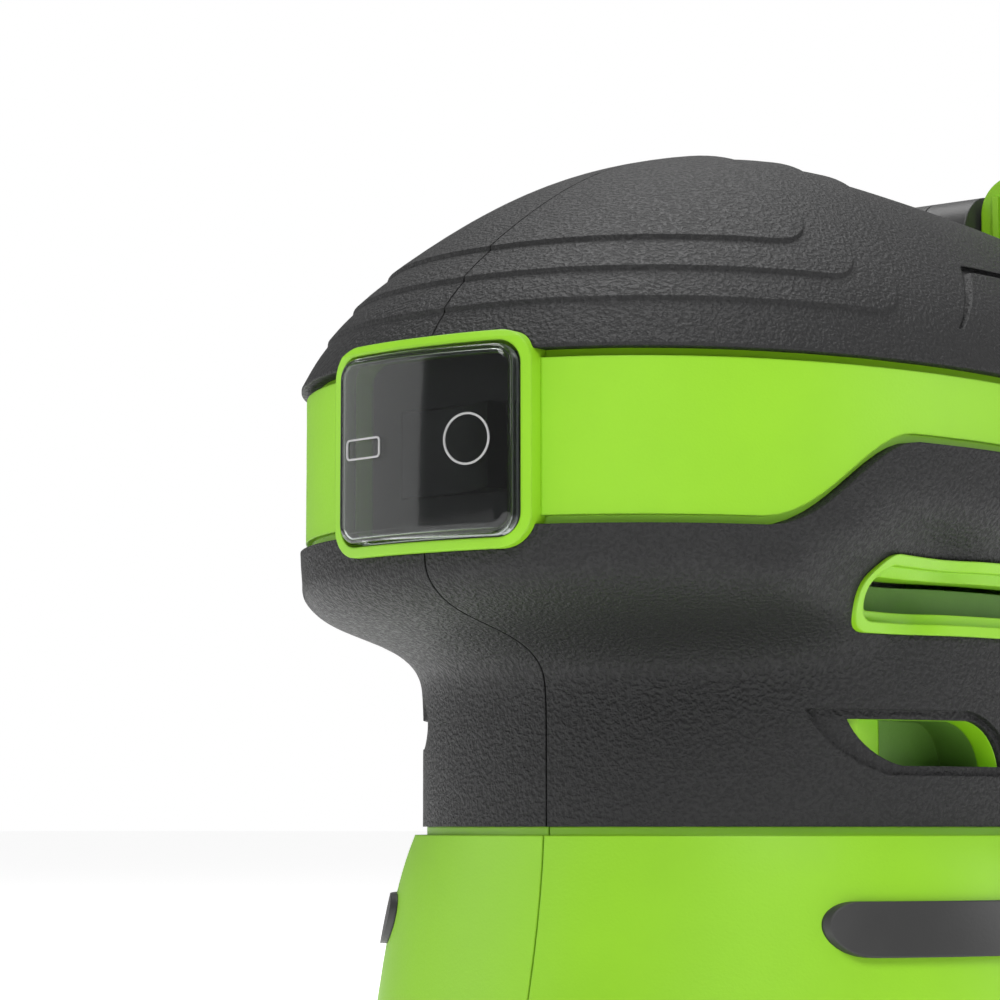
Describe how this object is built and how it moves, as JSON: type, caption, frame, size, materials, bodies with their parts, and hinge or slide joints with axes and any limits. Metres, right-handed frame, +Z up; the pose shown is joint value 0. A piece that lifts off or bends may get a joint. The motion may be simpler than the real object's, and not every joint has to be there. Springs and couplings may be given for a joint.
{
  "type": "detail sander",
  "caption": "Cordless palm sander with a domed soft grip, nose rocker under a clear boot, orbiting mouse-shaped platen, rear battery and dust box.",
  "frame": {"origin": "where the motor axis meets the sanding face", "axes": "+Z up along the motor axis, -Y towards the nose and switch, +X to the tool's left side"},
  "size_m": [0.1066, 0.2025, 0.157],
  "materials": {
    "green_plastic": "fine-grained moulded plastic, bright lime green",
    "soft_grip": "leather-grained soft overmould, dark grey",
    "dark_plastic": "smooth satin dark plastic",
    "clear_cover": "clear smoked soft cover, glossy",
    "black_plastic": "black moulded plastic",
    "brass_contact": "stamped contact",
    "steel": "turned and ground steel",
    "grey_nylon": "glass-filled nylon",
    "board": "circuit board laminate",
    "abrasive": "red-brown coated abrasive",
    "hook_fabric": "hook tape",
    "foam": "closed-cell foam",
    "rubber_post": "moulded rubber",
    "cell_wrap": "shrink wrapped cell",
    "filter_paper": "pleated filter paper"
  },
  "bodies": {
    "tool": {"control_board": "board", "dust_port": "dark_plastic", "dust_seal": "rubber_post", "exhaust_scoop_left": "green_plastic", "exhaust_scoop_right": "green_plastic", "housing_left": "green_plastic", "housing_right": "green_plastic", "housing_screws": "steel", "lower_bearing": "steel", "motor_can": "steel", "motor_end_cap": "grey_nylon", "motor_magnets": "steel", "motor_mount": "grey_nylon", "neck_grip_left": "soft_grip", "neck_grip_right": "soft_grip", "palm_grip_left": "soft_grip", "palm_grip_right": "soft_grip", "rear_cover_left": "dark_plastic", "rear_cover_right": "dark_plastic", "skirt_badge_left": "dark_plastic", "skirt_badge_right": "dark_plastic", "switch_bezel": "green_plastic", "switch_body": "black_plastic", "switch_boot": "clear_cover", "switch_terminals": "brass_contact", "terminal_blades": "brass_contact", "terminal_block": "black_plastic", "upper_bearing": "steel", "vent_baffle_left": "green_plastic", "vent_baffle_right": "green_plastic"},
    "rotor": {"motor_shaft": "steel", "fan_impeller": "grey_nylon", "counterweight": "steel", "platen_screw": "steel", "motor_rotor": "steel"},
    "platen": {"platen": "grey_nylon", "pad_bearing": "steel", "foam_pad": "foam", "hook_layer": "hook_fabric", "abrasive_sheet": "abrasive", "isolator_posts": "rubber_post"},
    "rocker": {"switch_rocker": "black_plastic"},
    "battery": {"battery_case_front": "dark_plastic", "battery_case_back": "dark_plastic", "battery_cells": "cell_wrap", "battery_contacts": "black_plastic", "latch_springs": "steel"},
    "latch": {"battery_latch": "green_plastic"},
    "dust_box": {"dust_box": "dark_plastic", "dust_box_lid": "dark_plastic", "dust_filter": "filter_paper"}
  },
  "joints": [
    {"name": "motor_spin", "type": "hinge", "parent": "tool", "child": "rotor", "pos_m": [0, 0, 0.05], "axis": [0, 0, 1], "continuous": true},
    {"name": "platen_orbit", "type": "hinge", "parent": "rotor", "child": "platen", "pos_m": [0, 0.001, 0.02], "axis": [0, 0, 1], "continuous": true},
    {"name": "rocker_tilt", "type": "hinge", "parent": "tool", "child": "rocker", "pos_m": [0, -0.0625, 0.1042], "axis": [0, 0, 1], "range_deg": [0, 22]},
    {"name": "battery_slide", "type": "slide", "parent": "tool", "child": "battery", "axis": [0, 0, 1], "range_m": [0, 0.09]},
    {"name": "latch_press", "type": "slide", "parent": "battery", "child": "latch", "axis": [0, 1, 0], "range_m": [0, 0.003], "stiffness_N_per_m": 1500, "springref_m": -0.002},
    {"name": "dust_box_slide", "type": "slide", "parent": "tool", "child": "dust_box", "axis": [0, 1, 0], "range_m": [0, 0.04]}
  ],
  "couplings": [
    {"joint": "platen_orbit", "follows": "motor_spin", "ratio": -1}
  ]
}
